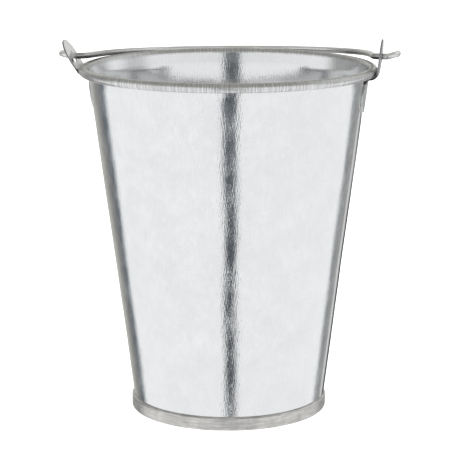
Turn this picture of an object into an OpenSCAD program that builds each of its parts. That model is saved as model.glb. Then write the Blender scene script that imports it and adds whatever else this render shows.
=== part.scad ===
// Tapered sheet-steel bucket for cut flowers, with a wired rolled rim, a foot ring,
// two spot-welded ears and a swinging wire bail.
// Origin: centre of the foot ring's underside. +Z is up, the ears stand on the X axis,
// and the bail lies back over the +Y side of the rim.

/* [Body] */
// Height from the floor to the top of the rolled rim
height = 200; // [185:1:230]
// Diameter over the rolled rim
rim_d = 170; // [169:0.1:172]
// Outer diameter of the wall, carried down to the floor
base_d = 108.7; // [107:0.1:109.5]
// Outer diameter of the wall, carried up to the middle of the bead
top_d = 159.5; // [158:0.1:160.5]
// Height below the rim at which the wall flares out to meet the bead
flare_drop = 8.6; // [8:0.1:9]
// Thickness of the body sheet
sheet_t = 0.5; // [0.4:0.05:0.6]
// Diameter of the rolled bead on the rim
bead_d = 5.2; // [5:0.1:5.6]
// Slack between the rim wire and the sheet rolled around it
wire_slack = 0.1; // [0.05:0.05:0.2]
// Width of the folded lock seam down the wall
seam_w = 5; // [3.5:0.1:6]
// How far the lock seam stands out from the wall
seam_rise = 1; // [0.6:0.1:1.4]
// Place of the seam, as an angle from the right ear towards the front
seam_angle = 7.3; // [4:0.1:9]

/* [Bottom and foot] */
// Outer diameter of the foot ring
foot_d = 113.4; // [113:0.1:116]
// Height of the foot ring
foot_h = 7.7; // [7:0.1:9]
// Thickness of the foot ring's strip
foot_t = 0.6; // [0.5:0.05:0.7]
// Height of the bottom plate's upper face, next to the wall
floor_z = 7; // [6.8:0.1:7.5]
// Depth of the shallow dish pressed into the bottom plate
dish_depth = 1; // [0.5:0.1:1.5]
// Radius of the dish
dish_r = 42; // [30:1:46]

/* [Ears] */
// Width of each ear strip, which has round ends
ear_w = 21.6; // [18:0.1:24]
// Thickness of the ear strip
ear_t = 0.9; // [0.8:0.1:1.1]
// Height of the lowest point of an ear on the wall
ear_foot_z = 174; // [170:0.5:180]
// Clear gap between an ear and the rolled bead that it goes round
ear_gap = 0.5; // [0.4:0.1:0.8]
// Lean of the left ear, from the vertical, where it leaves the bead
left_lean = 34; // [10:1:35]
// Lean of the right ear, from the vertical, where it leaves the bead
right_lean = 9; // [8:1:30]
// Radius of the slight inward curve of the blades
blade_curve_r = 150; // [100:5:400]
// Hole in each ear for the bail
hole_d = 7.4; // [6.8:0.1:8]
// How far the middle of each hole is below the wire that hangs in it
hole_drop = 0.8; // [0:0.1:1]

/* [Bail] */
// Diameter of the bail wire
wire_d = 3.5; // [3:0.1:3.6]
// Height of the bail's swinging axis above the rim
pivot_rise = 4.8; // [4.6:0.1:6]
// Tilt of that axis: the left ear leans out more, so its hole is lower
axis_tilt = 0.7; // [0:0.1:0.8]
// Angle that the bail hangs below level where it rests on the rim
droop = 3.8; // [1:0.05:3.8]
// Radius of the bail's hoop, to the middle of the wire
hoop_r = 80.2; // [79.5:0.1:80.6]
// Distance of the hoop's centre from the swinging axis
hoop_offset = 13.5; // [10:0.1:14]
// Radius of the elbows inside the ears
elbow_r = 9; // [5:0.1:9.2]
// Half the straight length of wire between the two hooks
axle_half = 90; // [90:0.1:92]
// Radius at which the left hook turns back, clear of the leaning ear
left_hook_r = 8.3; // [8.1:0.1:9]
// Radius at which the right hook turns back
right_hook_r = 5.6; // [5:0.1:9]
// Length of each hook, measured back from the swinging axis
hook_len = 15; // [12:0.5:18]

/* [Hidden] */

$fn = 96;
fn_round = 180;
fit = 0.05;

// The rolled bead, as a circle in the (radius, height) section
bead_r = bead_d / 2;
bead_ring_r = rim_d / 2 - bead_r;
bead_z = height - bead_r;
bead_bore_r = bead_r - sheet_t;
curl_end = -140;

// The wall is a cone, with a steeper flare that runs tangent into the bead
wall_lean = atan((top_d - base_d) / 2 / bead_z);
wall_across = sheet_t / cos(wall_lean);
wall_foot_z = foot_t + 0.2;
function wall_r(z) = base_d / 2 + z * tan(wall_lean);
function inner_r(z) = wall_r(z) - wall_across;
flare_z = height - flare_drop;
flare_run = [bead_ring_r - wall_r(flare_z), bead_z - flare_z];
flare_lean = atan(flare_run[0] / flare_run[1]) - asin(bead_bore_r / norm(flare_run));

// Bottom plate: a flanged disc pushed up into the wall
plate_t = 0.5;
flange_corner_r = 1.2;
dish_run = 2;

// Foot ring: a strip folded into a channel around the wall and the flange
shoulder_r = 0.9;
corner_r = 1.1;
inner_leg_top = 4.9;
inner_leg_r = inner_r(wall_foot_z) - plate_t - 2 * fit - foot_t / 2 - 0.25;

// Ears
ear_under_r = bead_r + ear_gap + ear_t / 2;
tab_offset = (ear_t / 2 + fit) / cos(wall_lean);
under_z = bead_z - ear_under_r;
tab_bend_r = (bead_ring_r - wall_r(under_z) - tab_offset) * cos(wall_lean) / (1 - sin(wall_lean));
blade_sweep = 24 / blade_curve_r * 180 / PI;
end_r = ear_w / 2 + 0.4;
left_tip_rise = 11.2;
right_tip_rise = 10.6;
ear_reach = 4;
ear_span = 24;

// Bail
pivot_z = height + pivot_rise;
ear_rise = (rim_d / 2 + ear_reach) * tan(axis_tilt);
wire_r = wire_d / 2;

function polar(r, a) = [r * cos(a), r * sin(a)];
function arc_points(centre, r, a0, a1, n) = [for (i = [0:n]) centre + polar(r, a0 + (a1 - a0) * i / n)];
function tail(list) = [for (i = [1:len(list) - 1]) list[i]];
function reversed(list) = [for (i = [len(list) - 1:-1:0]) list[i]];

// Ring sector with its middle line at radius r, drawn from angle a0 to a1
module arc_strip(r, t, a0, a1) {
    difference() {
        circle(r = r + t / 2);
        circle(r = r - t / 2);
        polygon(concat([[0, 0]], arc_points([0, 0], 2 * r, a1, a0 + 360, 3)));
    }
}

// Wall and curl of the body sheet, in section
module shell_section() {
    curl_r = bead_r - sheet_t / 2;
    tangent = [-cos(flare_lean), sin(flare_lean)];
    centre = [bead_ring_r, bead_z];
    polygon([
        [inner_r(wall_foot_z), wall_foot_z],
        [wall_r(wall_foot_z), wall_foot_z],
        [wall_r(flare_z), flare_z],
        centre + bead_bore_r * tangent,
        centre + bead_r * tangent,
        [inner_r(flare_z), flare_z]
    ]);
    translate(centre)
        arc_strip(curl_r, sheet_t, curl_end, 180 - flare_lean);
}

// Outline that an ear covers on the wall, seen along X, grown by a margin
module ear_foot_outline(margin = 0) {
    r = ear_w / 2;
    translate([0, ear_foot_z + r])
        circle(r = r + margin);
    translate([-r - margin, ear_foot_z + r])
        square([ear_w + 2 * margin, under_z - ear_foot_z]);
}

// Folded lock seam: a narrow raised band up the wall that ends at the right ear
module lock_seam() {
    low = foot_h + 0.3;
    high = ear_foot_z + ear_w / 3;
    difference() {
        intersection() {
            rotate_extrude($fn = fn_round)
                polygon([
                    [wall_r(low) - sheet_t / 2, low],
                    [wall_r(low) + seam_rise, low],
                    [wall_r(high) + seam_rise, high],
                    [wall_r(high) - sheet_t / 2, high]
                ]);
            rotate([0, 0, -seam_angle])
                translate([0, -seam_w / 2, 0])
                cube([rim_d / 2, seam_w, height]);
        }
        rotate([90, 0, 90])
            linear_extrude(rim_d / 2)
            ear_foot_outline(0.4);
    }
}

// Body: rolled cone of sheet with its curled rim and its lock seam
module body_shell() {
    color("lightsteelblue")
        union() {
            rotate_extrude($fn = fn_round)
                shell_section();
            lock_seam();
        }
}

// Stiffening wire inside the rolled rim
module rim_wire() {
    color("silver")
        rotate_extrude($fn = fn_round)
        translate([bead_ring_r, bead_z])
        circle(r = bead_bore_r - wire_slack, $fn = 48);
}

// One face of the bottom plate in section: side is 1 for the upper and outer face, -1 for the other
function plate_face(side) =
    let (
        half = side * plate_t / 2,
        flange_r = inner_r(wall_foot_z) - fit - plate_t / 2,
        rim_z = floor_z - plate_t / 2,
        dish_z = rim_z - dish_depth,
        corner = [flange_r - flange_corner_r, rim_z - flange_corner_r]
    )
    concat(
        [
            [0, dish_z + half],
            [dish_r - dish_run / 2, dish_z + half],
            [dish_r + dish_run / 2, rim_z + half]
        ],
        arc_points(corner, flange_corner_r + half, 90, 0, 6),
        [[flange_r + half, wall_foot_z]]
    );

// Bottom: dished disc with a flange turned down inside the wall
module bottom_plate() {
    color("gainsboro")
        rotate_extrude($fn = fn_round)
        polygon(concat(plate_face(1), reversed(plate_face(-1))));
}

// One face of the foot ring's strip in section: side is 1 for the outer face, -1 for the inner
function foot_face(side) =
    let (
        half = side * foot_t / 2,
        leg_r = foot_d / 2 - foot_t / 2,
        top_z = foot_h - foot_t / 2,
        low_z = corner_r + foot_t / 2
    )
    concat(
        [[wall_r(foot_h) + fit, top_z + half]],
        arc_points([leg_r - shoulder_r, top_z - shoulder_r], shoulder_r + half, 90, 0, 8),
        arc_points([leg_r - corner_r, low_z], corner_r + half, 0, -90, 6),
        arc_points([inner_leg_r + corner_r, low_z], corner_r + half, -90, -180, 6),
        [[inner_leg_r - half, inner_leg_top]]
    );

// Foot ring: channel with a rounded shoulder that closes on the wall
module foot_ring() {
    color("darkgray")
        rotate_extrude($fn = fn_round)
        polygon(concat(foot_face(1), reversed(foot_face(-1))));
}

// One face of an ear in section: side is 1 for the face towards the wall, -1 for the other.
// It runs up the tab, bends out under the bead, turns up around it and follows the blade.
function ear_face(lean, side) =
    let (
        half = side * ear_t / 2,
        bend = [bead_ring_r, under_z - tab_bend_r],
        up_wall = [sin(wall_lean), cos(wall_lean)],
        off_wall = [-cos(wall_lean), sin(wall_lean)],
        tab_top = bend + (tab_bend_r + half) * off_wall,
        tab_len = (tab_top[1] - ear_foot_z + 1) / cos(wall_lean),
        blade_centre = [bead_ring_r, bead_z] - polar(blade_curve_r - ear_under_r, -lean)
    )
    concat(
        [tab_top - tab_len * up_wall],
        arc_points(bend, tab_bend_r + half, 180 - wall_lean, 90, 8),
        tail(arc_points([bead_ring_r, bead_z], ear_under_r - half, -90, -lean, 8)),
        tail(arc_points(blade_centre, blade_curve_r - half, -lean, blade_sweep - lean, 8))
    );

// Angle round the blade's curve at a given height, and the blade's radius there
function blade_angle(lean, z) = asin((z - bead_z - (blade_curve_r - ear_under_r) * sin(lean)) / blade_curve_r);
function blade_at_r(lean, z) = bead_ring_r - (blade_curve_r - ear_under_r) * cos(lean)
    + blade_curve_r * cos(blade_angle(lean, z));

// Corners cut from a strip to leave a round end, which points up at height tip
module end_corners(tip) {
    translate([0, tip - end_r])
        difference() {
            translate([-ear_w, 0])
                square([2 * ear_w, ear_w]);
            circle(r = end_r);
        }
}

// One ear on the +X side, curved like the wall, with its hole at height hole_z
module ear(lean, hole_z, tip_rise) {
    hole_x = blade_at_r(lean, hole_z);
    difference() {
        rotate([0, 0, -ear_span / 2])
            rotate_extrude(angle = ear_span, $fn = 4 * fn_round)
            polygon(concat(ear_face(lean, 1), reversed(ear_face(lean, -1))));
        for (side = [-1, 1])
            translate([0, side * ear_w - ear_w / 2, 0])
            cube([rim_d, ear_w, 2 * height]);
        mirror([0, 0, 1])
            rotate([90, 0, 90])
            linear_extrude(rim_d)
            end_corners(-ear_foot_z);
        translate([hole_x, 0, hole_z])
            rotate([0, -blade_angle(lean, hole_z), 0])
            rotate([90, 0, 90])
            linear_extrude(ear_w, center = true)
            end_corners(tip_rise);
        translate([hole_x, 0, hole_z])
            rotate([0, 90, 0])
            cylinder(d = hole_d, h = ear_w, center = true, $fn = 64);
    }
}

// Left ear, on the -X side
module left_ear() {
    color("lightslategray")
        mirror([1, 0, 0])
        ear(left_lean, pivot_z - hole_drop - ear_rise, left_tip_rise);
}

// Right ear, on the +X side
module right_ear() {
    color("lightslategray")
        ear(right_lean, pivot_z - hole_drop + ear_rise, right_tip_rise);
}

// Arc of bail wire in the XY plane, about its own centre
module wire_arc(r, a0, a1) {
    rotate([0, 0, a0])
        rotate_extrude(angle = a1 - a0, $fn = fn_round)
        translate([r, 0])
        circle(r = wire_r, $fn = 48);
}

// Straight bail wire in the XY plane
module wire_line(p, a, len) {
    translate([p[0], p[1], 0])
        rotate([0, 90, a])
        cylinder(r = wire_r, h = len, $fn = 48);
}

// Elbow, axle and turned-back hook on the +X side, in the plane of the bail
module bail_end(hook_r) {
    axle_start = hoop_r + elbow_r;
    wire_line([hoop_r, elbow_r], 90, hoop_offset - elbow_r);
    translate([axle_start, elbow_r, 0])
        wire_arc(elbow_r, 180, 270);
    wire_line([axle_start, 0], 0, axle_half - axle_start);
    translate([axle_half, hook_r, 0])
        wire_arc(hook_r, 270, 360);
    wire_line([axle_half + hook_r, hook_r], 90, hook_len - hook_r);
}

// Bail: one piece of wire, lying back on the rim
module bail_handle() {
    color("silver")
        translate([0, 0, pivot_z])
        rotate([0, -axis_tilt, 0])
        rotate([-droop, 0, 0])
        union() {
            translate([0, hoop_offset, 0])
                wire_arc(hoop_r, 0, 180);
            bail_end(right_hook_r);
            mirror([1, 0, 0])
                bail_end(left_hook_r);
        }
}

body_shell();
rim_wire();
bottom_plate();
foot_ring();
left_ear();
right_ear();
bail_handle();
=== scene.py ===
"""Looks of the florist bucket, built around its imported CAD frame.

Every visible piece is rebuilt here as a fine mesh: the rolled body with its lock seam and
wired rim, the bottom, the foot ring, the two ears and the bail. Sections are drawn in
millimetres, as (radius, height), and scaled to metres. Sizes follow the CAD, apart from the
ears' broad tabs, waists and flatter blades, the bail's leaning elbows and raised hooks, the
seam's rising top, the weld dimples and the slight unevenness of the wall.
"""

import math
from types import SimpleNamespace

import bpy
import numpy as np
from mathutils import Matrix, Vector, geometry, noise


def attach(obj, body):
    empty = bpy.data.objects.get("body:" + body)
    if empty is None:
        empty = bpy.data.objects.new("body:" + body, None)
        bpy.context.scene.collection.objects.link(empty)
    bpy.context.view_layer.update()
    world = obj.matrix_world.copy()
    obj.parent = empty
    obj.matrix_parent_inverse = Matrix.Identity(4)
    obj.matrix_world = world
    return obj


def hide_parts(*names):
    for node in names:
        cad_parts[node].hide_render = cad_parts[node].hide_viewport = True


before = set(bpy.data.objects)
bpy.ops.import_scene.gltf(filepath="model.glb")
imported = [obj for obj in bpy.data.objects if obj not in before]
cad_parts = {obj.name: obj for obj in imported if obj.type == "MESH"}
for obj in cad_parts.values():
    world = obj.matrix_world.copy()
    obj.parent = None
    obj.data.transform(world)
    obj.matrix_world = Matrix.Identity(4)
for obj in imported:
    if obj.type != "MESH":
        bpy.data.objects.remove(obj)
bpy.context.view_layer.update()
scene = bpy.context.scene
MM = 0.001

# ---------------------------------------------------------------- dimensions, mm and degrees
HEIGHT = 200.0
RIM_D = 170.0
BASE_D = 108.7
TOP_D = 159.5
SHEET_T = 0.5
BEAD_R = 2.6
WIRE_SLACK = 0.1
FLARE_Z = HEIGHT - 8.6
FOOT_Z = 0.8
CURL_END = -140.0

SEAM_W = 5.0
SEAM_RISE = 1.0
SEAM_AZIMUTH = -7.3
SEAM_LOW, SEAM_HIGH = 8.2, 176.0
SEAM_NEAR_FOLD, SEAM_FAR_FOLD = 1.1, 0.35
SEAM_LOW_END, SEAM_HIGH_END = 1.0, 3.0
WAVE, RIPPLE = 0.22, 0.05

FOOT_D = 113.4
FOOT_H = 7.7
FOOT_T = 0.6
SHOULDER_R, CORNER_R = 0.9, 1.1
INNER_LEG_TOP, INNER_LEG_EASE = 4.9, 0.25
FLOOR_Z = 7.0
DISH_R, DISH_DEPTH, DISH_RUN = 42.0, 1.0, 2.0
FLANGE_BEND_R = 1.2
PLATE_T = 0.5
FIT = 0.05

EAR_W = 21.6
EAR_T = 0.9
EAR_FOOT_Z = 174.0
EAR_GAP = 0.5
EAR_END_R = EAR_W / 2 + 0.4
EAR_REACH = 4.0
TAB_HALF, TAB_RISE = 13.0, 10.6
WAIST_HALF, WAIST_S = 9.5, 17.5
WELDS = [(6.0, -3.6), (6.0, 3.6), (13.0, 0.0)]
WELD_DEPTH, WELD_FLAT_R, WELD_R = 0.18, 0.8, 2.0
EAR_TIP_RISE = {"left_ear": 11.2, "right_ear": 10.6}
EAR_LEANS = {"left_ear": 34.0, "right_ear": 9.0}
BLADE_CURVE_R = 150.0
BLADE_SWEEP = 12.0
HOLE_D = 7.4
HOLE_DROP = 0.8
EDGE_BEVEL = 0.18

WIRE_R = 1.75
PIVOT_Z = HEIGHT + 4.8
AXIS_TILT = 0.7
DROOP = 3.8
HOOP_R = 80.2
HOOP_OFFSET = 13.5
ELBOW_R = 7.0
ELBOW_LEAN = math.radians(9.0)
AXLE_HALF = 90.0
HOOK_R = {1: 5.6, -1: 8.28}
HOOK_LEN = 15.0
HOOK_LIFT = 1.1
# The wire's rounded ends: share of its radius, and how far in from the very end
END_ROUNDING = [(0.0, 0.0), (0.72, 0.0), (0.93, 0.12), (1.0, 0.4)]

BEAD_RING_R = RIM_D / 2 - BEAD_R
BEAD_Z = HEIGHT - BEAD_R
BORE_R = BEAD_R - SHEET_T
WALL_SLOPE = (TOP_D - BASE_D) / 2 / BEAD_Z
WALL_LEAN = math.atan(WALL_SLOPE)
CAMERA_AZIMUTH = 8.0

# ---------------------------------------------------------------- fineness of the meshes
WALL_STEP, FLARE_STEP = 3.0, 1.0
COARSE_TURN, FINE_TURN = 1.2, 0.16
FINE_REACH = 4.0
EAR_BEND_STEPS = 24
EAR_GRID = 0.6
WIRE_SIDES = 28

# ---------------------------------------------------------------- colours and marks
SHEET_ZINC = (0.66, 0.667, 0.673)
BOTTOM_ZINC = (0.58, 0.59, 0.6)
FOOT_ZINC = (0.49, 0.48, 0.465)
EAR_ZINC = (0.58, 0.59, 0.59)
BAIL_ZINC = (0.62, 0.62, 0.61)
CORE_STEEL = (0.5, 0.5, 0.49)
BEAD_DULL = (0.355, 0.353, 0.34)
# Painted shade and a painted dark reflection on the lock seam
SEAM_SHADE = (0.03, 0.03, 0.03)
# Painted shade where the ears bend round the bead
CORNER_SHADE = (0.02, 0.02, 0.02)
# Marks per metre, round the sheet and up it
SHEET_GRAIN = (1300.0, 130.0)
BOTTOM_GRAIN = (700.0, 700.0)
FOOT_GRAIN = (70.0, 1100.0)
EAR_GRAIN = (900.0, 160.0)
WIRE_GRAIN = (70.0, 1500.0)
CORE_GRAIN = (60.0, 1500.0)
TICK_GRAIN = (1350.0, 40.0)
# Depth of the marks in mm
FINE_MARKS, FOOT_MARKS, TICK_MARKS = 0.03, 0.1, 0.08


def wall_r(z):
    """Radius of the wall's outer face."""
    return BASE_D / 2 + z * WALL_SLOPE


def inner_r(z):
    """Radius of the wall's inner face."""
    return wall_r(z) - SHEET_T / math.cos(WALL_LEAN)


def polar(centre, r, degrees):
    a = math.radians(degrees)
    return (centre[0] + r * math.cos(a), centre[1] + r * math.sin(a))


def arc(centre, r, a0, a1, n):
    return [polar(centre, r, a0 + (a1 - a0) * i / n) for i in range(n + 1)]


def line(p, q, step):
    """Points from p up to, but not including, q."""
    n = max(1, round(math.dist(p, q) / step))
    return [(p[0] + (q[0] - p[0]) * i / n, p[1] + (q[1] - p[1]) * i / n) for i in range(n)]


def smooth(low, high, x):
    """0 up to low, 1 from high on, and an even curve between them."""
    t = min(1.0, max(0.0, (x - low) / (high - low)))
    return t * t * (3 - 2 * t)


# ---------------------------------------------------------------- mesh helpers
def make_piece(name, verts, faces, node, slot, sharp=40.0):
    """A smooth-shaded piece from points in millimetres, standing for one CAD node."""
    mesh = bpy.data.meshes.new(name)
    mesh.from_pydata([tuple(MM * c for c in v) for v in verts], [], faces)
    mesh.validate()
    mesh.shade_smooth()
    mesh.set_sharp_from_angle(angle=math.radians(sharp))
    piece = bpy.data.objects.new(name, mesh)
    scene.collection.objects.link(piece)
    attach(piece, "bail" if node == "bail_handle" else "bucket")
    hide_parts(node)
    return piece


def revolve(profile, azimuths, offset=None):
    """Closed ring of a closed section. offset(azimuth, z, i) moves a point out, in mm."""
    verts, faces, n = [], [], len(profile)
    for a in azimuths:
        c, s = math.cos(math.radians(a)), math.sin(math.radians(a))
        for i, (r, z) in enumerate(profile):
            out = r + (offset(a, z, i) if offset else 0)
            verts.append((out * c, out * s, z))
    for k in range(len(azimuths)):
        j = (k + 1) % len(azimuths)
        for i in range(n):
            m = (i + 1) % n
            faces.append((k * n + i, j * n + i, j * n + m, k * n + m))
    return verts, faces


def even_azimuths(n):
    return [360 * i / n for i in range(n)]


def strip(face):
    """Closed section of a strip, from face(1) and face(-1), the points of its two faces."""
    return face(1) + face(-1)[::-1]


# ---------------------------------------------------------------- body
def body_section():
    """The body's closed section, and how many of its points are outside and below the curl."""
    run = (BEAD_RING_R - wall_r(FLARE_Z), BEAD_Z - FLARE_Z)
    flare = math.atan(run[0] / run[1]) - math.asin(BORE_R / math.hypot(*run))
    start = 180 - math.degrees(flare)
    centre = (BEAD_RING_R, BEAD_Z)
    outer = line((wall_r(FOOT_Z), FOOT_Z), (wall_r(FLARE_Z), FLARE_Z), WALL_STEP)
    outer += line((wall_r(FLARE_Z), FLARE_Z), polar(centre, BORE_R, start), FLARE_STEP)
    curl = arc(centre, BORE_R, start, CURL_END, 24) + arc(centre, BEAD_R, CURL_END, start, 40)
    inner = line(polar(centre, BEAD_R, start), (inner_r(FLARE_Z), FLARE_Z), FLARE_STEP)[1:]
    inner += line((inner_r(FLARE_Z), FLARE_Z), (inner_r(FOOT_Z), FOOT_Z), WALL_STEP)
    inner += [(inner_r(FOOT_Z), FOOT_Z)]
    return outer + curl + inner, len(outer)


def unevenness(a, z):
    """How far the rolled sheet stands out, fading to nothing at the foot and the rim."""
    hold = smooth(10, 45, z) * (1 - smooth(165, 188, z))
    c, s = math.cos(math.radians(a)), math.sin(math.radians(a))
    p = Vector((c * 2.2, s * 2.2, z / 55))
    return hold * (WAVE * noise.noise(p) + RIPPLE * noise.noise(p * 3.1))


def seam_height(a, z):
    """Folded lock seam: a band that steps up, rises a little and ends in a step down."""
    across = math.radians(a - SEAM_AZIMUTH) * wall_r(z)
    near = 0.5 * smooth(-SEAM_W / 2, -SEAM_W / 2 + SEAM_NEAR_FOLD, across)
    near += 0.5 * min(1.0, max(0.0, across / SEAM_W + 0.5))
    far = 1 - smooth(SEAM_W / 2 - SEAM_FAR_FOLD, SEAM_W / 2, across)
    ends = smooth(SEAM_LOW, SEAM_LOW + SEAM_LOW_END, z)
    ends *= 1 - smooth(SEAM_HIGH - SEAM_HIGH_END, SEAM_HIGH, z)
    return SEAM_RISE * near * far * ends


def body_azimuths():
    """Steps round the body, fine across the seam."""
    count = round(2 * FINE_REACH / FINE_TURN) + 1
    fine = [SEAM_AZIMUTH - FINE_REACH + FINE_TURN * i for i in range(count)]
    coarse = [float(a) for a in np.arange(-180, 180, COARSE_TURN)
              if abs(a - SEAM_AZIMUTH) > FINE_REACH + 0.4]
    return sorted(coarse + fine)


def build_body():
    profile, n_outer = body_section()

    def offset(a, z, i):
        a = (a + 180) % 360 - 180
        out = unevenness(a, z)
        if i < n_outer and abs(a - SEAM_AZIMUTH) < FINE_REACH:
            out += seam_height(a, z)
        return out

    return make_piece("body_sheet", *revolve(profile, body_azimuths(), offset),
                      "body_shell", "galvanised_sheet")


def build_rim_wire():
    section = arc((BEAD_RING_R, BEAD_Z), BORE_R - WIRE_SLACK, 0, 345, 23)
    return make_piece("rim_core_wire", *revolve(section, even_azimuths(240)),
                      "rim_wire", "steel_wire")


# ---------------------------------------------------------------- bottom and foot
def build_bottom():
    """The dished disc, with its flange turned down inside the wall."""
    flange_r = inner_r(FOOT_Z) - FIT - PLATE_T / 2
    rim_z = FLOOR_Z - PLATE_T / 2
    bend = FLANGE_BEND_R

    def face(side):
        half = side * PLATE_T / 2
        dish_z = rim_z - DISH_DEPTH + half
        pressed = [(DISH_R + DISH_RUN * (t - 0.5), dish_z + DISH_DEPTH * smooth(0, 1, t))
                   for t in np.linspace(0, 1, 9)]
        flat = [(0.05, dish_z)] + [(r, dish_z) for r in np.linspace(4, DISH_R - 4, 10)]
        corner = arc((flange_r - bend, rim_z - bend), bend + half, 90, 0, 8)
        return flat + pressed + corner + [(flange_r + half, FOOT_Z)]

    return make_piece("bottom_disc", *revolve(strip(face), even_azimuths(240)),
                      "bottom_plate", "galvanised_bottom")


def build_foot():
    """The hoop round the base, folded under the wall and up inside it."""
    leg_r = (FOOT_D - FOOT_T) / 2
    top_z = FOOT_H - FOOT_T / 2
    low_z = CORNER_R + FOOT_T / 2
    inner_leg = inner_r(FOOT_Z) - PLATE_T - 2 * FIT - FOOT_T / 2 - INNER_LEG_EASE

    def face(side):
        half = side * FOOT_T / 2
        return (
            [(wall_r(FOOT_H) + FIT, top_z + half)]
            + arc((leg_r - SHOULDER_R, top_z - SHOULDER_R), SHOULDER_R + half, 90, 0, 12)
            + arc((leg_r - CORNER_R, low_z), CORNER_R + half, 0, -90, 12)
            + arc((inner_leg + CORNER_R, low_z), CORNER_R + half, -90, -180, 12)
            + [(inner_leg - half, INNER_LEG_TOP)]
        )

    return make_piece("foot_channel", *revolve(strip(face), even_azimuths(300)),
                      "foot_ring", "galvanised_strip")


# ---------------------------------------------------------------- ears
def ear_path(lean):
    """Middle line of an ear in section, from the foot of its tab to the end of its blade."""
    under_r = BEAD_R + EAR_GAP + EAR_T / 2
    under_z = BEAD_Z - under_r
    off = (EAR_T / 2 + FIT) / math.cos(WALL_LEAN)
    bend_r = ((BEAD_RING_R - wall_r(under_z) - off) * math.cos(WALL_LEAN)
              / (1 - math.sin(WALL_LEAN)))
    bend = (BEAD_RING_R, under_z - bend_r)
    blade = polar((BEAD_RING_R, BEAD_Z), -(BLADE_CURVE_R - under_r), -lean)
    points = [(wall_r(EAR_FOOT_Z) + off, EAR_FOOT_Z)]
    points += arc(bend, bend_r, 180 - math.degrees(WALL_LEAN), 90, EAR_BEND_STEPS)
    points += arc((BEAD_RING_R, BEAD_Z), under_r, -90, -lean, 24)[1:]
    points += arc(blade, BLADE_CURVE_R, -lean, BLADE_SWEEP - lean, 60)[1:]
    return np.array(points)


def ear_places(node, side, path, along):
    """How far along an ear its hole, the centre of its round end and its tip are."""
    rise = side * (RIM_D / 2 + EAR_REACH) * math.tan(math.radians(AXIS_TILT))
    hole_z = PIVOT_Z - HOLE_DROP + rise
    on_blade = along > WAIST_S + 0.5
    hole_s = float(np.interp(hole_z, path[:, 1][on_blade], along[on_blade]))
    tip_s = hole_s + EAR_TIP_RISE[node]
    return hole_s, tip_s - EAR_END_R, tip_s


def ear_half(s, end_s):
    """Half the width at s along an ear: a broad tab, a waist under the bead, a round end."""
    if s < TAB_RISE:
        return TAB_HALF * math.sqrt(max(0.0, 1 - (1 - s / TAB_RISE) ** 2))
    half = TAB_HALF - (TAB_HALF - WAIST_HALF) * smooth(TAB_RISE, WAIST_S, s)
    half += (EAR_W / 2 - WAIST_HALF) * smooth(WAIST_S + 1.5, WAIST_S + 8, s)
    if s > end_s:
        half = min(half, math.sqrt(max(0.0, EAR_END_R**2 - (s - end_s) ** 2)))
    return half


def ear_outline(end_s):
    """Outline of an ear laid flat, as (along, across): round its tab, up, round its tip, down."""
    reach = math.sqrt(EAR_END_R**2 - (EAR_W / 2) ** 2)
    end_angle = math.degrees(math.asin(EAR_W / 2 / EAR_END_R))
    tab = [(TAB_RISE * (1 - math.cos(a)), TAB_HALF * math.sin(a))
           for a in np.radians(np.linspace(-90, 90, 40))]
    side_s = np.linspace(TAB_RISE, end_s + reach, 60)[1:-1]
    one_side = [(s, ear_half(s, end_s)) for s in side_s]
    tip = [(end_s + EAR_END_R * math.cos(a), EAR_END_R * math.sin(a))
           for a in np.radians(np.linspace(end_angle, -end_angle, 30))]
    return tab + one_side + tip + [(s, -t) for s, t in one_side[::-1]]


def ear_flat(hole_s, end_s, tip_s):
    """Points and triangles of an ear laid flat, with the hole for the bail left out."""
    outline = ear_outline(end_s)
    hole = [(hole_s + HOLE_D / 2 * math.cos(a), HOLE_D / 2 * math.sin(a))
            for a in np.linspace(0, 2 * math.pi, 48, endpoint=False)]

    def inside(s, t, margin):
        if math.hypot(s - hole_s, t) < HOLE_D / 2 + margin:
            return False
        return margin < s < tip_s - margin and abs(t) < ear_half(s, end_s) - margin

    grid = [(s, t) for s in np.arange(EAR_GRID / 2, tip_s, EAR_GRID)
            for t in np.arange(-TAB_HALF, TAB_HALF, EAR_GRID)
            if inside(s, t, 0.4)]
    n, m = len(outline), len(hole)
    edges = [(i, (i + 1) % n) for i in range(n)] + [(n + i, n + (i + 1) % m) for i in range(m)]
    flat = [Vector(p) for p in outline + hole + grid]
    points, _, triangles, *_ = geometry.delaunay_2d_cdt(flat, edges, [], 0, 1e-6)
    kept = []
    for tri in triangles:
        s, t = sum((points[i] for i in tri), Vector((0, 0))) / len(tri)
        if inside(s, t, 0.0):
            kept.append(tri)
    return points, kept


def build_ear(node, side):
    """One ear and the centre of its round end, in metres."""
    path = ear_path(EAR_LEANS[node])
    along = np.concatenate([[0], np.cumsum(np.hypot(*np.diff(path, axis=0).T))])
    hole_s, end_s, tip_s = ear_places(node, side, path, along)
    points, triangles = ear_flat(hole_s, end_s, tip_s)
    bend_end = float(along[EAR_BEND_STEPS])

    def section(s):
        return float(np.interp(s, along, path[:, 0])), float(np.interp(s, along, path[:, 1]))

    verts = []
    for s, t in points:
        r, z = section(s)
        flatter = 1 - 0.6 * smooth(bend_end, hole_s - 3, s)
        x = r - flatter * (r - math.sqrt(r * r - t * t))
        for weld_s, weld_t in WELDS:
            away = math.hypot(s - weld_s, t - weld_t)
            x -= WELD_DEPTH * (1 - smooth(WELD_FLAT_R, WELD_R, away))
        verts.append((side * x, t, z))
    piece = make_piece(f"{node}_strip", verts, triangles, node, "ear_steel", 60)
    thick = piece.modifiers.new("thickness", "SOLIDIFY")
    thick.thickness = EAR_T * MM
    thick.offset = 0
    thick.use_even_offset = True
    edge = piece.modifiers.new("sheared_edge", "BEVEL")
    edge.width = EDGE_BEVEL * MM
    edge.segments = 2
    edge.angle_limit = math.radians(50)
    end_r, end_z = section(end_s)
    return piece, (side * end_r * MM, 0.0, end_z * MM)


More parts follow.
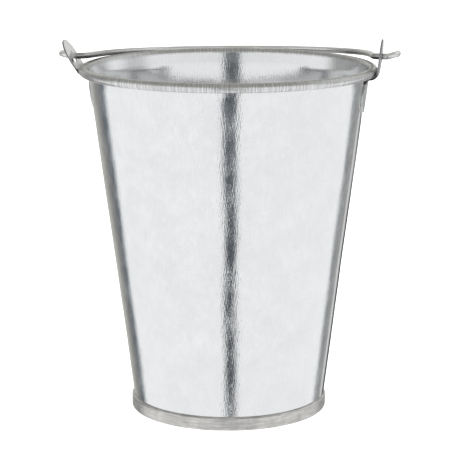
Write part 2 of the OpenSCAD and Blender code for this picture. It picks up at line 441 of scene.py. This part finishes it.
# ---------------------------------------------------------------- bail
def bail_end(side):
    """Points of one half of the bail, from its hook to the side of the hoop, in its plane."""
    hook = HOOK_R[side]
    points = [(AXLE_HALF + hook, y) for y in np.linspace(HOOK_LEN, hook, 10)]
    points += arc((AXLE_HALF, hook), hook, 0, -90, 16)[1:]
    leaving = (HOOP_R * math.cos(ELBOW_LEAN), HOOP_OFFSET + HOOP_R * math.sin(ELBOW_LEAN))
    drop = (leaving[1] - ELBOW_R * (1 - math.sin(ELBOW_LEAN))) * math.tan(ELBOW_LEAN)
    elbow = (leaving[0] + drop + ELBOW_R * math.cos(ELBOW_LEAN), ELBOW_R)
    points += [(x, 0) for x in np.linspace(AXLE_HALF, elbow[0], 5)[1:]]
    bend = arc(elbow, ELBOW_R, 270, 180 + math.degrees(ELBOW_LEAN), 16)[1:]
    points += bend
    points += line(bend[-1], leaving, 1.5)[1:]
    return [(side * x, y) for x, y in points]


def bail_path(turn):
    """Middle line of the bail from hook to hook, moved by turn from its own plane."""
    lean = math.degrees(ELBOW_LEAN)
    hoop = arc((0, HOOP_OFFSET), HOOP_R, lean, 180 - lean, 170)
    path = []
    for x, y in bail_end(1) + hoop + bail_end(-1)[::-1]:
        hook_end = AXLE_HALF + HOOK_R[math.copysign(1, x)]
        lift = HOOK_LIFT * smooth(AXLE_HALF, hook_end, abs(x))
        path.append(turn @ Vector((x, y, lift)))
    return path


def wire_rings(path):
    """Centre, direction and radius of each ring of wire along a path."""
    first = (path[1] - path[0]).normalized()
    last = (path[-1] - path[-2]).normalized()
    rings = [(path[0] + first * back, first, share) for share, back in END_ROUNDING]
    for i in range(1, len(path) - 1):
        rings.append((path[i], (path[i + 1] - path[i - 1]).normalized(), 1.0))
    rings += [(path[-1] - last * back, last, share) for share, back in END_ROUNDING[::-1]]
    return [(centre, ahead, max(0.02, WIRE_R * share)) for centre, ahead, share in rings]


def wire_mesh(path, up):
    """Points and faces of a round wire along a path that lies about square to up."""
    rings = wire_rings(path)
    sides, verts, faces = WIRE_SIDES, [], []
    for centre, ahead, r in rings:
        across = ahead.cross(up).normalized()
        for k in range(sides):
            a = 2 * math.pi * k / sides
            verts.append(tuple(centre + r * (math.cos(a) * across + math.sin(a) * up)))
    for i in range(len(rings) - 1):
        for k in range(sides):
            j = (k + 1) % sides
            faces.append((i * sides + k, i * sides + j, (i + 1) * sides + j, (i + 1) * sides + k))
    faces.append(tuple(range(sides))[::-1])
    faces.append(tuple(range((len(rings) - 1) * sides, len(rings) * sides)))
    return verts, faces


def build_bail():
    """The bail, the direction square to its plane, and how many metres along it that lies."""
    turn = (Matrix.Translation((0, 0, PIVOT_Z)) @ Matrix.Rotation(math.radians(-AXIS_TILT), 4, "Y")
            @ Matrix.Rotation(math.radians(-DROOP), 4, "X"))
    up = (turn.to_3x3() @ Vector((0, 0, 1))).normalized()
    piece = make_piece("bail_wire_hoop", *wire_mesh(bail_path(turn), up),
                       "bail_handle", "bail_wire", 50)
    return piece, up, up.dot(turn.translation) * MM


# ---------------------------------------------------------------- shader nodes
def add(tree, kind, inputs=None, **settings):
    """A new node, with its inputs given as values or as the sockets that feed them."""
    node = tree.nodes.new(kind)
    for name, value in settings.items():
        setattr(node, name, value)
    for name, value in (inputs or {}).items():
        if isinstance(value, bpy.types.NodeSocket):
            tree.links.new(value, node.inputs[name])
        else:
            node.inputs[name].default_value = value
    return node


def maths(tree, operation, *values, clamp=False):
    return add(tree, "ShaderNodeMath", dict(enumerate(values)), operation=operation,
               use_clamp=clamp).outputs[0]


def product(tree, value, *others):
    for other in others:
        value = maths(tree, "MULTIPLY", value, other)
    return value


def ranged(tree, value, a, b, c, d, kind="LINEAR"):
    """Value moved from the range a to b into the range c to d, and held there."""
    return add(tree, "ShaderNodeMapRange",
               {"Value": value, "From Min": a, "From Max": b, "To Min": c, "To Max": d},
               interpolation_type=kind).outputs[0]


def ranged_mm(tree, value, a, b, c, d, kind="LINEAR"):
    """The same for a length, with a and b in millimetres."""
    return ranged(tree, value, a * MM, b * MM, c, d, kind)


def ranged_deg(tree, value, a, b, c, d, kind="LINEAR"):
    """The same for an angle, with a and b in degrees."""
    return ranged(tree, value, math.radians(a), math.radians(b), c, d, kind)


def spun(tree, vector, degrees):
    """A vector turned about the upright axis."""
    return add(tree, "ShaderNodeVectorRotate", {"Vector": vector, "Angle": math.radians(degrees)},
               rotation_type="Z_AXIS").outputs[0]


def separated(tree, vector):
    return add(tree, "ShaderNodeSeparateXYZ", {0: vector}).outputs


def measured(tree, operation, vector, other=(0, 0, 0)):
    """A vector measurement that gives one number, such as a length or a distance."""
    return add(tree, "ShaderNodeVectorMath", {0: vector, 1: other},
               operation=operation).outputs["Value"]


def scaled(tree, vector, scale):
    return add(tree, "ShaderNodeVectorMath", {0: vector, 1: scale},
               operation="MULTIPLY").outputs[0]


def blended(tree, share, a, b):
    """Colour a where share is 0 and b where it is 1, each a colour or a socket."""
    node = tree.nodes.new("ShaderNodeMix")
    node.data_type = "RGBA"
    tree.links.new(share, node.inputs[0])
    for slot, value in ((6, a), (7, b)):
        if isinstance(value, bpy.types.NodeSocket):
            tree.links.new(value, node.inputs[slot])
        else:
            node.inputs[slot].default_value = (*value[:3], 1.0)
    return node.outputs[2]


def scaled_colour(colour, k):
    return [min(1.0, c * k) for c in colour]


# ---------------------------------------------------------------- zinc
def stretched_noise(tree, point, grain, turn=0.0, detail=2.0):
    """Noise with its own scale each way across the sheet, turned by an angle."""
    point = scaled(tree, spun(tree, point, turn), (*grain, 0))
    return add(tree, "ShaderNodeTexNoise",
               {"Vector": point, "Scale": 1.0, "Detail": detail}).outputs[0]


def sheet_point(tree, round_axis):
    """A point in space, on its sheet (round from the lock seam, then up), and its height."""
    place = add(tree, "ShaderNodeTexCoord").outputs["Object"]
    if not round_axis:
        _, across, height = separated(tree, place)
        flat = add(tree, "ShaderNodeCombineXYZ", {0: across, 1: height})
        return place, flat.outputs[0], height
    x, y, height = separated(tree, spun(tree, place, 180 - SEAM_AZIMUTH))
    along = maths(tree, "MULTIPLY", maths(tree, "ARCTAN2", y, x), RIM_D / 2 * MM)
    flat = add(tree, "ShaderNodeCombineXYZ", {0: along, 1: height})
    return place, flat.outputs[0], height


def zinc(name, colour, rough, grain, depth, cross=12.0, mottle=0.06, rough_spread=0.05,
         round_axis=True):
    """Zinc-coated steel: mottled, with drawing marks that cross at an angle and bump it.
    More marks can be put on the result before coated() wires it up."""
    material = bpy.data.materials.new(name)
    material.use_nodes = True
    tree = material.node_tree
    place, flat, height = sheet_point(tree, round_axis)

    one = stretched_noise(tree, flat, grain, cross)
    two = stretched_noise(tree, flat, grain, -cross * 0.7)
    marks = maths(tree, "SUBTRACT", maths(tree, "ADD", one, two), 1.0)
    cloud = add(tree, "ShaderNodeTexNoise",
                {"Vector": place, "Scale": 70.0, "Detail": 5.0, "Roughness": 0.65}).outputs[0]
    spangle = add(tree, "ShaderNodeTexVoronoi", {"Vector": place, "Scale": 300.0})
    spangle = add(tree, "ShaderNodeSeparateColor", {0: spangle.outputs["Color"]}).outputs[0]
    tone = maths(tree, "ADD", cloud, maths(tree, "MULTIPLY", spangle, 0.15))
    tone = maths(tree, "ADD", tone, maths(tree, "MULTIPLY", marks, 0.6))
    patchy = ranged(tree, cloud, 0.38, 0.62, 0.6, 1.4)
    flecks = maths(tree, "ADD", marks, maths(tree, "SUBTRACT", cloud, 0.5))
    return SimpleNamespace(
        material=material, tree=tree, place=place, flat=flat, height=height, zinc=colour,
        colour=blended(tree, ranged(tree, tone, 0.3, 0.85, 0.0, 1.0),
                       scaled_colour(colour, 1 - mottle), scaled_colour(colour, 1 + mottle)),
        rough=ranged(tree, tone, 0.3, 0.85, rough + rough_spread, rough - rough_spread),
        metal=ranged(tree, flecks, -0.12, 0.22, 0.99, 0.86),
        relief=product(tree, marks, patchy, depth * MM),
    )


def coated(coat):
    """The finished material of a coat."""
    tree = coat.tree
    shader = tree.nodes["Principled BSDF"]
    bump = add(tree, "ShaderNodeBump", {"Height": coat.relief, "Distance": 1.0, "Strength": 1.0})
    tree.links.new(coat.colour, shader.inputs["Base Color"])
    tree.links.new(coat.rough, shader.inputs["Roughness"])
    tree.links.new(coat.metal, shader.inputs["Metallic"])
    tree.links.new(bump.outputs[0], shader.inputs["Normal"])
    return coat.material


def mark_bead(coat, radius):
    """Fine upright ticks round the bead, which is dull on top."""
    tree = coat.tree
    outside = ranged_mm(tree, radius, BEAD_RING_R - 2.0, BEAD_RING_R - 1.5, 0.0, 1.0)
    over = ranged_mm(tree, coat.height, HEIGHT - 3.2, HEIGHT - 1.8, 0.0, 1.0)
    on_bead = maths(tree, "MAXIMUM", outside, over)
    on_top = ranged_mm(tree, coat.height, HEIGHT - 2.6, HEIGHT - 1.2, 0.0, 1.0, "SMOOTHSTEP")
    ticks = stretched_noise(tree, coat.flat, TICK_GRAIN, 0.0, 1.0)
    ridges = product(tree, ticks, on_bead, TICK_MARKS * MM)
    dull = product(tree, ranged(tree, ticks, 0.38, 0.62, 0.0, 0.8), on_bead)
    dull = maths(tree, "ADD", dull, maths(tree, "MULTIPLY", on_top, 0.6), clamp=True)
    coat.relief = maths(tree, "ADD", coat.relief, ridges)
    coat.colour = blended(tree, dull, coat.colour, BEAD_DULL)
    coat.rough = maths(tree, "ADD", coat.rough, maths(tree, "MULTIPLY", on_bead, 0.2))


def mark_seam(coat, radius):
    """Painted shade on the lock seam, a little all over it from its near fold on, and low down a
    painted dark reflection, much stronger on its far part.
    """
    tree = coat.tree
    forward, across, _ = separated(tree, spun(tree, coat.place, -SEAM_AZIMUTH))
    half = SEAM_W / 2
    # Painted shade from the near fold across the whole seam, and a painted dark reflection on its
    # far part, strong low down and fading upwards
    slope = ranged_mm(tree, across, -half - 0.1, -half + 0.3, 0.0, 0.32)
    top = ranged_mm(tree, across, -1.0, -0.5, 0.0, 1.0)
    low_reflection = ranged_mm(tree, coat.height, 90, 150, 0.97, 0.05, "SMOOTHSTEP")
    painted_darkness = maths(tree, "ADD", slope, maths(tree, "MULTIPLY", top, low_reflection))
    face_r = maths(tree, "MULTIPLY_ADD", coat.height, WALL_SLOPE, (BASE_D - SHEET_T) / 2 * MM)
    share = product(
        tree, painted_darkness,
        ranged_mm(tree, across, half, half + 0.1, 1.0, 0.0),
        maths(tree, "GREATER_THAN", forward, 0.0),
        maths(tree, "GREATER_THAN", radius, face_r),
        ranged_mm(tree, coat.height, SEAM_LOW, SEAM_LOW + SEAM_LOW_END, 0.0, 1.0),
        ranged_mm(tree, coat.height, SEAM_HIGH - SEAM_HIGH_END, SEAM_HIGH, 1.0, 0.0),
    )
    coat.colour = blended(tree, share, coat.colour, SEAM_SHADE)


def mark_ear(coat, end_centre):
    """Darker sheared edges on the blade, and painted shade at the front where it bends round the
    bead.
    """
    tree, half = coat.tree, EAR_W / 2
    from_centre = measured(tree, "DISTANCE", coat.place, end_centre)
    round_end = ranged_mm(tree, from_centre, EAR_END_R - 0.7, EAR_END_R - 0.2, 0.0, 1.0)
    above = ranged(tree, coat.height, end_centre[2], end_centre[2] + MM, 0.0, 1.0)
    across = separated(tree, coat.place)[1]
    sides = ranged_mm(tree, maths(tree, "ABSOLUTE", across), half - 0.7, half - 0.2, 0.0, 0.9)
    on_blade = ranged_mm(tree, coat.height, BEAD_Z - 1, BEAD_Z, 0.0, 1.0)
    edges = maths(tree, "MAXIMUM", product(tree, round_end, above), product(tree, sides, on_blade))
    coat.colour = blended(tree, edges, coat.colour, scaled_colour(coat.zinc, 0.42))

    # Painted shade in the gap at the front of the ear's bend round the bead
    painted_darkness = product(
        tree,
        ranged_mm(tree, coat.height, BEAD_Z - 7, BEAD_Z - 6, 0.0, 0.95),
        ranged_mm(tree, coat.height, BEAD_Z - 1, BEAD_Z + 0.5, 1.0, 0.0),
        ranged_mm(tree, across, 4 - half, 7 - half, 1.0, 0.0),
    )
    coat.colour = blended(tree, painted_darkness, coat.colour, CORNER_SHADE)


def mark_bail(coat, up, level):
    """Painted shade underneath, and a painted dark reflection along the sides of the hoop towards
    its elbows.
    """
    tree = coat.tree
    above = measured(tree, "DOT_PRODUCT", coat.place, up)
    # Painted shade on the underside of the wire
    under = ranged(tree, above, level - 1.1 * MM, level + 0.3 * MM, 0.8, 0.0, "SMOOTHSTEP")
    coat.colour = blended(tree, under, coat.colour, scaled_colour(coat.zinc, 0.25))
    sideways = maths(tree, "ABSOLUTE", separated(tree, coat.place)[0])
    # A painted dark reflection along the sides of the hoop, fading out before the hooks
    side_reflection = product(
        tree,
        ranged_mm(tree, sideways, 48, 74, 0.0, 0.6, "SMOOTHSTEP"),
        ranged_mm(tree, sideways, AXLE_HALF - 3, AXLE_HALF, 1.0, 0.0),
    )
    coat.colour = blended(tree, side_reflection, coat.colour, scaled_colour(coat.zinc, 0.3))


# ---------------------------------------------------------------- a material for each piece
def sheet_material():
    coat = zinc("galvanised_sheet", SHEET_ZINC, 0.085, SHEET_GRAIN, FINE_MARKS, cross=13.0,
                mottle=0.03, rough_spread=0.03)
    radius = measured(coat.tree, "LENGTH", scaled(coat.tree, coat.place, (1, 1, 0)))
    mark_bead(coat, radius)
    mark_seam(coat, radius)
    return coated(coat)


def core_material():
    return coated(zinc("steel_wire", CORE_STEEL, 0.35, CORE_GRAIN, FINE_MARKS))


def bottom_material():
    return coated(zinc("galvanised_bottom", BOTTOM_ZINC, 0.3, BOTTOM_GRAIN, FINE_MARKS,
                       round_axis=False))


def foot_material():
    return coated(zinc("galvanised_strip", FOOT_ZINC, 0.4, FOOT_GRAIN, FOOT_MARKS, cross=1.0,
                       mottle=0.22))


def ear_material(ear, end_centre):
    coat = zinc(ear, EAR_ZINC, 0.25, EAR_GRAIN, FINE_MARKS, round_axis=False)
    mark_ear(coat, end_centre)
    return coated(coat)


def bail_material(up, level):
    coat = zinc("bail_wire", BAIL_ZINC, 0.24, WIRE_GRAIN, FINE_MARKS, cross=0.0)
    mark_bail(coat, up, level)
    return coated(coat)


def paint(piece, material):
    piece.data.materials.clear()
    piece.data.materials.append(material)


# ---------------------------------------------------------------- floor
def floor_material():
    material = bpy.data.materials.new("pale_floor")
    material.use_nodes = True
    tree = material.node_tree
    shader = tree.nodes["Principled BSDF"]
    place = add(tree, "ShaderNodeTexCoord").outputs["Object"]
    grain = add(tree, "ShaderNodeTexNoise", {"Vector": place, "Scale": 30.0}).outputs[0]
    tree.links.new(ranged(tree, grain, 0.0, 1.0, 0.88, 0.92), shader.inputs["Base Color"])
    shader.inputs["Roughness"].default_value = 0.9
    shader.inputs["Specular IOR Level"].default_value = 0.1
    shader.inputs["Emission Color"].default_value = (1, 1, 1, 1)
    shader.inputs["Emission Strength"].default_value = 0.6
    return material


def build_floor():
    size = 12.0
    mesh = bpy.data.meshes.new("floor")
    mesh.from_pydata([(-size, -size, 0), (size, -size, 0), (size, size, 0), (-size, size, 0)],
                     [], [(0, 1, 2, 3)])
    floor = bpy.data.objects.new("floor", mesh)
    scene.collection.objects.link(floor)
    paint(floor, floor_material())
    floor.visible_glossy = False


# ---------------------------------------------------------------- studio that the zinc mirrors
# A direction is a bearing from the camera's side, in degrees and positive to the right as
# the camera sees it, and up, which runs from -1 straight down to 1 straight up.
WHITE = (0.99, 0.995, 1.0)
# Tones of the walls by their bearing, whether left or right
WALL_TONES = [
    (0, WHITE), (122, WHITE), (124.5, (0.82, 0.835, 0.84)), (126, (0.47, 0.51, 0.54)),
    (128, (0.16, 0.19, 0.215)), (132, (0.115, 0.13, 0.15)), (142, (0.21, 0.21, 0.205)),
    (151, (0.32, 0.32, 0.3)), (161, (0.45, 0.45, 0.42)), (180, (0.52, 0.52, 0.5)),
]
# How much later the tones come on the right, in degrees
RIGHT_SHIFT = 4.5
RIGHT_LIFTED = (0.43, 0.43, 0.42)
GAP_LOW, GAP_MIDDLE, GAP_HIGH = (0.06, 0.073, 0.086), (0.14, 0.155, 0.17), (0.085, 0.098, 0.11)
LEFT_WALL, RIGHT_BAND = (0.36, 0.365, 0.36), (0.52, 0.53, 0.53)
BACK_WALL, CEILING = (0.78, 0.78, 0.75), (0.5, 0.5, 0.49)


def wall_colours(tree, side, bearing, away):
    """The walls all round, with their tones a little later on the right and lighter there at
    the back."""
    on_right = product(tree, maths(tree, "GREATER_THAN", side, 0.0), math.radians(RIGHT_SHIFT))
    share = maths(tree, "DIVIDE", maths(tree, "SUBTRACT", away, on_right), math.pi)
    ramp = add(tree, "ShaderNodeValToRGB", {"Fac": share})
    elements = ramp.color_ramp.elements
    while len(elements) < len(WALL_TONES):
        elements.new(0.5)
    for element, (degrees, colour) in zip(elements, WALL_TONES):
        element.position = degrees / 180
        element.color = (*colour, 1)
    lifted = ranged_deg(tree, bearing, 127, 133, 0.0, 0.5)
    return blended(tree, lifted, ramp.outputs[0], RIGHT_LIFTED)


def with_gap(tree, colour, bearing, up):
    """A dark gap in the wall behind the camera, which leans and narrows downwards."""
    centre = ranged(tree, up, -0.55, 0.1, math.radians(2.8), math.radians(-3.4))
    width = ranged(tree, up, -0.55, -0.35, math.radians(5.3), math.radians(6.9))
    from_gap = maths(tree, "ABSOLUTE", maths(tree, "SUBTRACT", bearing, centre))
    outside = ranged_deg(tree, maths(tree, "SUBTRACT", from_gap, width), -1.2, 1.2, 0.0, 1.0,
                         "SMOOTHSTEP")
    gap = blended(tree, ranged(tree, up, -0.44, -0.39, 0.0, 1.0), GAP_LOW, GAP_MIDDLE)
    gap = blended(tree, ranged(tree, up, -0.2, -0.1, 0.0, 1.0), gap, GAP_HIGH)
    return blended(tree, outside, gap, colour)


def with_upper_walls(tree, colour, bearing, away, up):
    """Above the floor: grey on the left, a grey band on the right, and light at the back."""
    above_floor = ranged(tree, up, -0.2, -0.06, 0.0, 1.0)
    left = product(tree, ranged_deg(tree, bearing, -91, -104, 0.0, 1.0), above_floor)
    right = product(tree, ranged_deg(tree, bearing, 68, 80, 0.0, 1.0), above_floor,
                    ranged(tree, up, 0.15, 0.3, 1.0, 0.0))
    back = product(tree, ranged_deg(tree, away, 138, 152, 0.0, 1.0),
                   ranged(tree, up, -0.04, 0.06, 0.0, 1.0))
    colour = blended(tree, left, colour, LEFT_WALL)
    colour = blended(tree, right, colour, RIGHT_BAND)
    return blended(tree, back, colour, BACK_WALL)


def with_ceiling(tree, colour, direction, up):
    """A grey ceiling, with a white softbox to the right and behind the bucket."""
    colour = blended(tree, ranged(tree, up, 0.08, 0.75, 0.0, 1.0, "SMOOTHSTEP"), colour, CEILING)
    a = math.radians(115)
    aim = Vector((math.sin(a), -math.cos(a), 0.6)).normalized()
    closeness = measured(tree, "DOT_PRODUCT", direction, aim)
    return blended(tree, ranged(tree, closeness, 0.86, 0.93, 0.0, 1.0, "SMOOTHSTEP"), colour, WHITE)


def build_world():
    """A studio that is plain white to the camera and has its tones only in reflections and
    in the light that it gives."""
    world = bpy.data.worlds.new("studio")
    world.use_nodes = True
    scene.world = world
    tree = world.node_tree
    direction = spun(tree, add(tree, "ShaderNodeTexCoord").outputs["Generated"], -CAMERA_AZIMUTH)
    side, depth, up = separated(tree, direction)
    facing = maths(tree, "MULTIPLY", depth, -1.0)
    bearing = maths(tree, "ARCTAN2", side, facing)
    away = maths(tree, "ARCTAN2", maths(tree, "ABSOLUTE", side), facing)

    colour = wall_colours(tree, side, bearing, away)
    floor_glow = ranged(tree, up, -0.75, -0.56, 1.0, 0.0, "SMOOTHSTEP")
    colour = blended(tree, floor_glow, colour, WHITE)
    colour = with_gap(tree, colour, bearing, up)
    colour = with_upper_walls(tree, colour, bearing, away, up)
    colour = with_ceiling(tree, colour, direction, up)
    seen = add(tree, "ShaderNodeLightPath").outputs["Is Camera Ray"]
    background = tree.nodes["Background"]
    tree.links.new(blended(tree, seen, colour, (1, 1, 1)), background.inputs["Color"])
    background.inputs["Strength"].default_value = 1.2


# ---------------------------------------------------------------- lights and camera, metres
def build_lights():
    for name, place, size, power in (
        ("overhead", (0.0, 0.1, 1.6), 1.6, 22.0),
        ("key", (-1.3, -1.0, 1.3), 1.2, 14.0),
    ):
        data = bpy.data.lights.new(name, "AREA")
        data.shape = "DISK"
        data.size = size
        data.energy = power
        lamp = bpy.data.objects.new(name, data)
        scene.collection.objects.link(lamp)
        lamp.location = place
        aim = Vector((0, 0, 0.1)) - lamp.location
        lamp.rotation_euler = aim.to_track_quat("-Z", "Y").to_euler()
        lamp.visible_glossy = False


def build_camera():
    """A long lens in front of the bucket and a little to its right, looking slightly down."""
    distance, rise, sideways = 1.12426, 0.33840, 0.000918
    pitch, roll = math.radians(11.789), -0.0018
    a = math.radians(CAMERA_AZIMUTH)
    right = Vector((math.cos(a), math.sin(a), 0))
    level = Vector((-math.sin(a), math.cos(a), 0))
    ahead = level * math.cos(pitch) - Vector((0, 0, math.sin(pitch)))
    data = bpy.data.cameras.new("camera")
    data.sensor_fit = "HORIZONTAL"
    data.sensor_width = 36
    data.lens = 155.16
    camera = bpy.data.objects.new("camera", data)
    scene.collection.objects.link(camera)
    turn = Matrix((right, right.cross(ahead), -ahead)).transposed().to_4x4()
    place = Matrix.Translation(-level * distance + right * sideways + Vector((0, 0, rise)))
    camera.matrix_world = place @ turn @ Matrix.Rotation(roll, 4, "Z")
    scene.camera = camera


# ---------------------------------------------------------------- the scene
paint(build_body(), sheet_material())
paint(build_rim_wire(), core_material())
paint(build_bottom(), bottom_material())
paint(build_foot(), foot_material())
for ear, side in (("left_ear", -1), ("right_ear", 1)):
    piece, end_centre = build_ear(ear, side)
    paint(piece, ear_material(ear, end_centre))
bail, bail_up, bail_level = build_bail()
paint(bail, bail_material(bail_up, bail_level))

build_floor()
build_world()
build_lights()
build_camera()
scene.view_settings.view_transform = "Standard"
